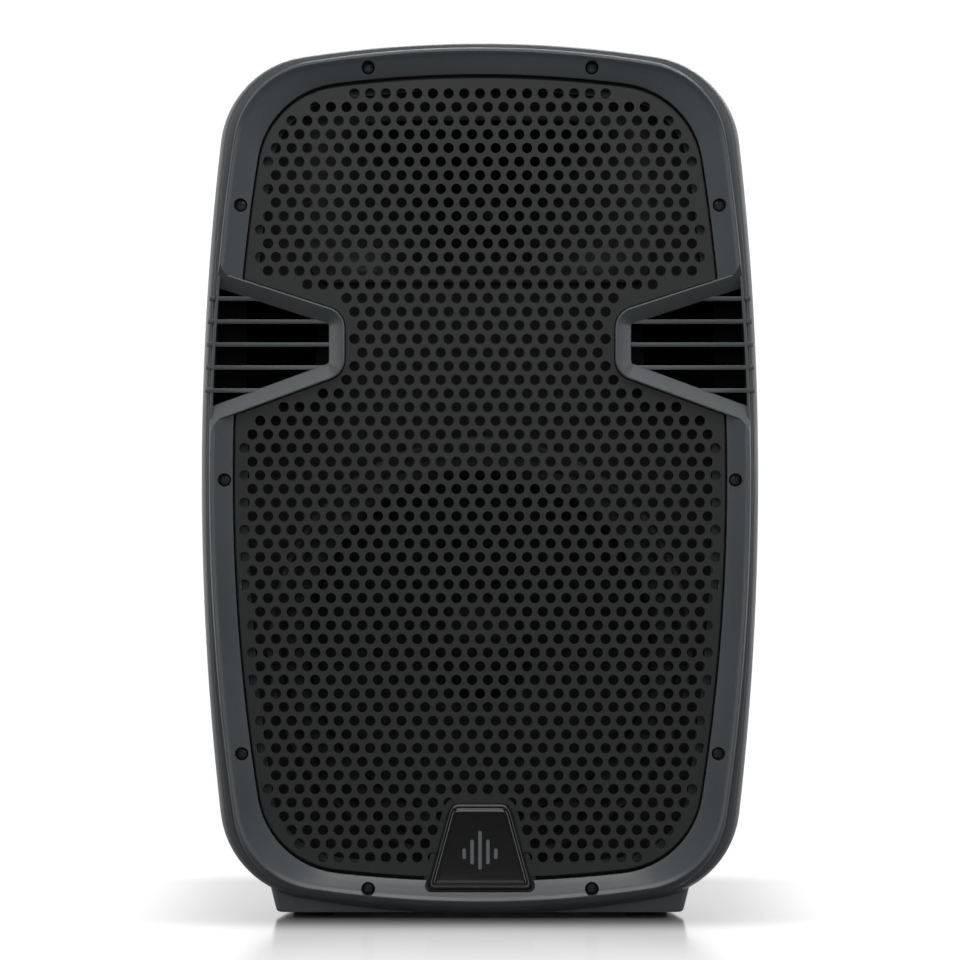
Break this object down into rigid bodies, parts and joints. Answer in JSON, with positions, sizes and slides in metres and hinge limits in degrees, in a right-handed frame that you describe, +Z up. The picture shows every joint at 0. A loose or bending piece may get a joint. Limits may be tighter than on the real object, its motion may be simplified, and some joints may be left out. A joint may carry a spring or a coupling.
{
  "type": "pa speaker cabinet",
  "caption": "Powered two-way PA loudspeaker: moulded tapered cabinet, perforated steel grille, louvred side ports, horn and bass driver, recessed rear amplifier panel.",
  "frame": {"origin": "on the floor under the middle of the footprint", "axes": "+Z up; the grille faces -Y; +X is to the right of someone looking at the grille"},
  "size_m": [0.32, 0.262, 0.5],
  "materials": {
    "shell_plastic": "moulded charcoal polypropylene with a fine spark-eroded grain",
    "grille_steel": "perforated steel sheet, satin black powder coat",
    "badge_gloss": "polished black acrylic",
    "rubber": "matt moulded rubber",
    "grip_rubber": "soft-touch moulded grip",
    "pole_steel": "cast top-hat socket, black enamel",
    "duct_plastic": "moulded ABS, dark",
    "basket_steel": "pressed steel, black paint",
    "cone_paper": "pressed pulp, dark",
    "spider_cloth": "impregnated cotton",
    "winding": "enamelled copper wire",
    "bright_steel": "zinc-plated steel",
    "ferrite": "pressed strontium ferrite",
    "horn_plastic": "moulded ABS, satin black",
    "panel_enamel": "steel plate, fine black texture coat",
    "heatsink_aluminium": "extruded, black anodised",
    "circuit_board": "glass-epoxy board, green mask",
    "socket_plastic": "moulded nylon, black",
    "knob_plastic": "moulded soft-touch knob",
    "screw_black": "black zinc screw",
    "led_blue": "clear tinted lens",
    "led_red": "clear tinted lens"
  },
  "bodies": {
    "root": {"rear_shell": "shell_plastic", "front_baffle": "shell_plastic", "shell_gasket": "rubber", "grille": "grille_steel", "badge": "badge_gloss", "pole_socket": "pole_steel", "handle_grip": "grip_rubber", "port_duct_left": "duct_plastic", "port_duct_right": "duct_plastic", "woofer_basket": "basket_steel", "woofer_surround": "rubber", "woofer_spider": "spider_cloth", "woofer_top_plate": "bright_steel", "woofer_magnet": "ferrite", "woofer_yoke": "bright_steel", "horn": "horn_plastic", "hf_driver": "ferrite", "hf_cover": "horn_plastic", "amp_panel": "panel_enamel", "heatsink": "heatsink_aluminium", "amp_board": "circuit_board", "mains_transformer": "winding", "control_board": "circuit_board", "combo_socket_1": "socket_plastic", "combo_socket_2": "socket_plastic", "link_socket": "socket_plastic", "mains_inlet": "socket_plastic", "switch_housing": "socket_plastic", "power_led": "led_blue", "limit_led": "led_red", "front_screw_01": "screw_black", "front_screw_02": "screw_black", "front_screw_03": "screw_black", "front_screw_04": "screw_black", "front_screw_05": "screw_black", "front_screw_06": "screw_black", "front_screw_07": "screw_black", "front_screw_08": "screw_black", "front_screw_09": "screw_black", "front_screw_10": "screw_black", "foot_1": "rubber", "panel_screw_1": "screw_black", "foot_2": "rubber", "panel_screw_2": "screw_black", "foot_3": "rubber", "panel_screw_3": "screw_black", "foot_4": "rubber", "panel_screw_4": "screw_black"},
    "cone": {"woofer_cone": "cone_paper", "woofer_dust_cap": "cone_paper", "woofer_voice_coil": "winding"},
    "rocker": {"power_rocker": "socket_plastic"},
    "dial_1": {"knob_1": "knob_plastic"},
    "dial_2": {"knob_2": "knob_plastic"},
    "dial_3": {"knob_3": "knob_plastic"},
    "dial_4": {"knob_4": "knob_plastic"},
    "dial_5": {"knob_5": "knob_plastic"},
    "select_key": {"select_button": "knob_plastic"}
  },
  "joints": [
    {"name": "cone_travel", "type": "slide", "parent": "root", "child": "cone", "axis": [0, -1, 0], "range_m": [-0.004, 0.004], "stiffness_N_per_m": 4000},
    {"name": "power_rocker_tilt", "type": "hinge", "parent": "root", "child": "rocker", "pos_m": [0.03, 0.1122, 0.2], "axis": [1, 0, 0], "range_deg": [0, 16]},
    {"name": "knob_1_turn", "type": "hinge", "parent": "root", "child": "dial_1", "pos_m": [-0.06, 0.12, 0.268], "axis": [0, 1, 0], "range_deg": [-150, 150]},
    {"name": "knob_2_turn", "type": "hinge", "parent": "root", "child": "dial_2", "pos_m": [-0.032, 0.12, 0.268], "axis": [0, 1, 0], "range_deg": [-150, 150]},
    {"name": "knob_3_turn", "type": "hinge", "parent": "root", "child": "dial_3", "pos_m": [-0.004, 0.12, 0.268], "axis": [0, 1, 0], "range_deg": [-150, 150]},
    {"name": "knob_4_turn", "type": "hinge", "parent": "root", "child": "dial_4", "pos_m": [0.024, 0.12, 0.268], "axis": [0, 1, 0], "range_deg": [-150, 150]},
    {"name": "knob_5_turn", "type": "hinge", "parent": "root", "child": "dial_5", "pos_m": [0.052, 0.12, 0.268], "axis": [0, 1, 0], "range_deg": [-150, 150]},
    {"name": "select_press", "type": "slide", "parent": "root", "child": "select_key", "axis": [0, -1, 0], "range_m": [0, 0.002], "stiffness_N_per_m": 600}
  ]
}
